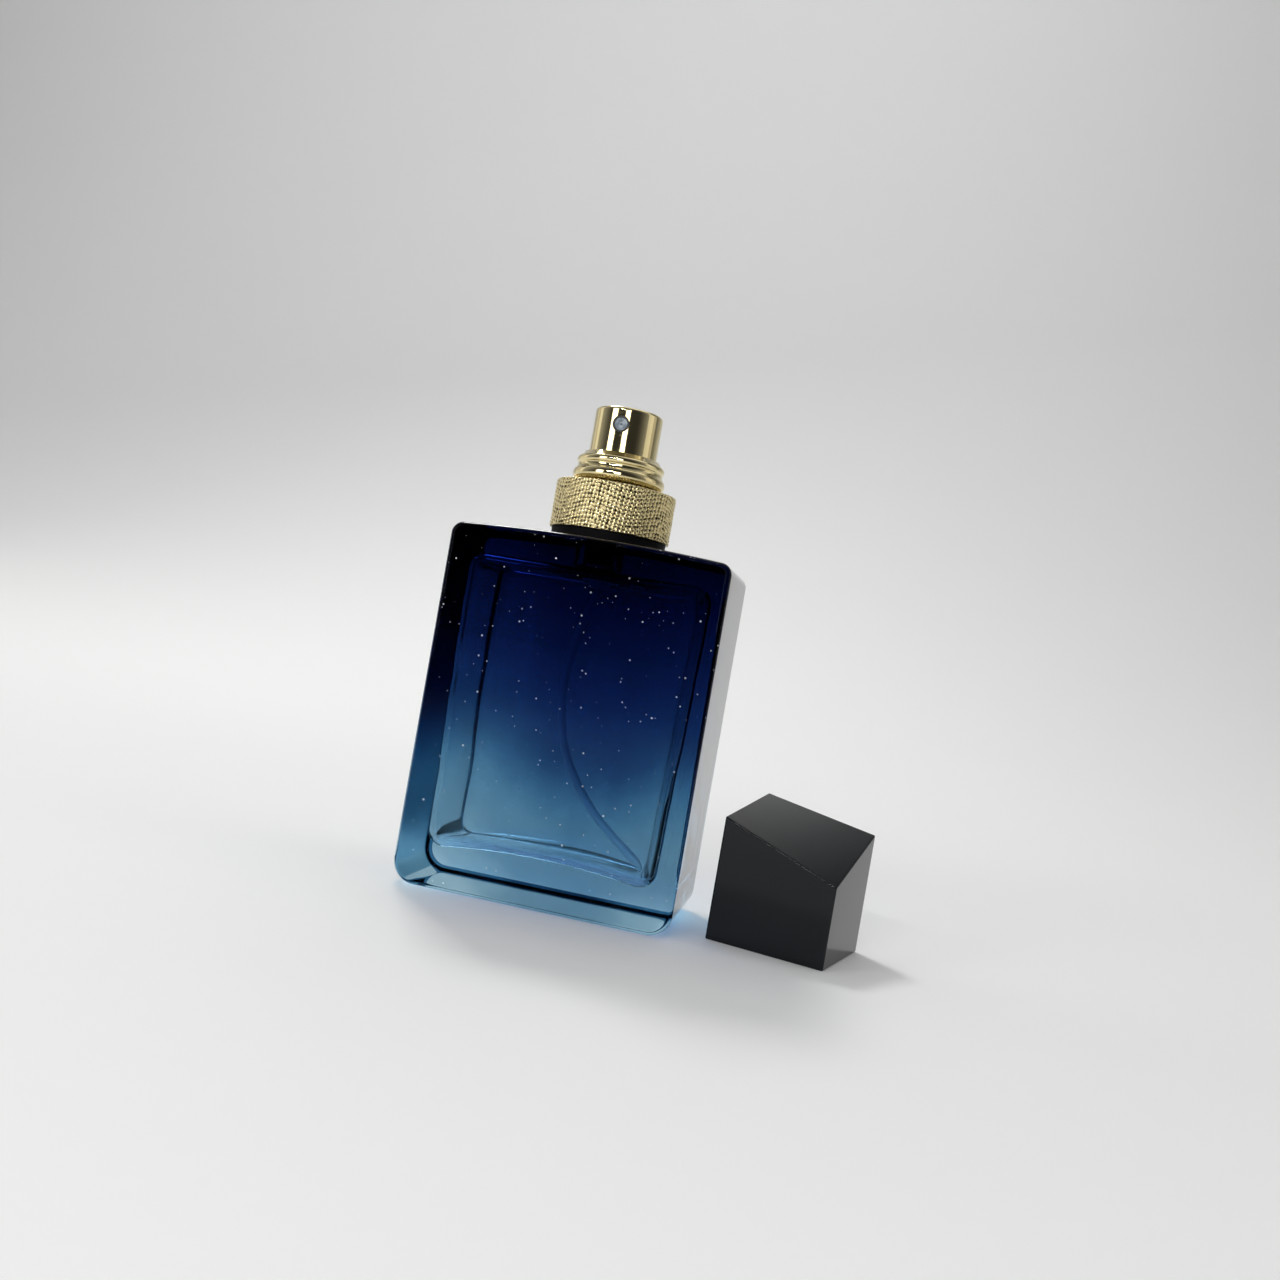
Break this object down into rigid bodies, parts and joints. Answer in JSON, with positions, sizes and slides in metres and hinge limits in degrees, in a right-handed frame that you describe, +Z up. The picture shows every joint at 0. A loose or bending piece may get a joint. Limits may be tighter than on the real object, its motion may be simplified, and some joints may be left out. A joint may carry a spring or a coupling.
{
  "type": "aftershave bottle",
  "caption": "Rectangular blue glass spray bottle with a hammered gold collar, a push-button pump and a slant-topped black cap standing beside it.",
  "frame": {"origin": "centre of the bottle's base, on the surface it stands on", "axes": "+Z up along the neck and pump, -Y out of the bottle's front face, which the nozzle faces, +X to the right seen from the front, towards the cap"},
  "size_m": [0.0919, 0.032, 0.101],
  "materials": {
    "blue_glass": "gloss",
    "hammered_gold": "hammered",
    "polished_gold": "polished",
    "aluminium": "satin",
    "black_liner": "satin",
    "black_gloss": "gloss",
    "dark_plastic": "satin",
    "natural_plastic": "satin",
    "clear_tube": "gloss",
    "nozzle_plastic": "satin",
    "rubber_seal": "matte",
    "spring_steel": "satin"
  },
  "bodies": {
    "bottle": {"glass_bottle": "blue_glass", "neck_gasket": "rubber_seal", "pump_housing": "natural_plastic", "stem_seal": "rubber_seal", "turret": "natural_plastic", "crimp_ferrule": "aluminium", "ferrule_sleeve": "polished_gold", "collar": "hammered_gold", "collar_liner": "black_liner", "dip_tube": "clear_tube", "return_spring": "spring_steel"},
    "stem": {"stem": "natural_plastic", "valve_rod": "natural_plastic", "piston_spring": "spring_steel"},
    "piston": {"piston": "natural_plastic"},
    "ball": {"inlet_ball": "spring_steel"},
    "actuator": {"actuator_core": "dark_plastic", "actuator_shell": "polished_gold", "nozzle_insert": "nozzle_plastic"},
    "cap": {"cap_shell": "black_gloss", "cap_liner": "dark_plastic"}
  },
  "joints": [
    {"name": "actuator_press", "type": "slide", "parent": "bottle", "child": "stem", "axis": [0, 0, -1], "range_m": [0, 0.004], "stiffness_N_per_m": 1500, "springref_m": -0.004, "deforming": ["return_spring"]},
    {"name": "actuator_turn", "type": "hinge", "parent": "stem", "child": "actuator", "pos_m": [0, 0, 0.094], "axis": [0, 0, 1], "continuous": true},
    {"name": "piston_slip", "type": "slide", "parent": "stem", "child": "piston", "axis": [0, 0, 1], "range_m": [0, 0.0005], "stiffness_N_per_m": 2000, "springref_m": -0.001, "deforming": ["piston_spring"]},
    {"name": "ball_lift", "type": "slide", "parent": "bottle", "child": "ball", "axis": [0, 0, 1], "range_m": [0, 0.0008]},
    {"name": "cap_lift", "type": "slide", "parent": "bottle", "child": "cap", "axis": [0, 0, 1], "range_m": [0, 0.0851]}
  ]
}
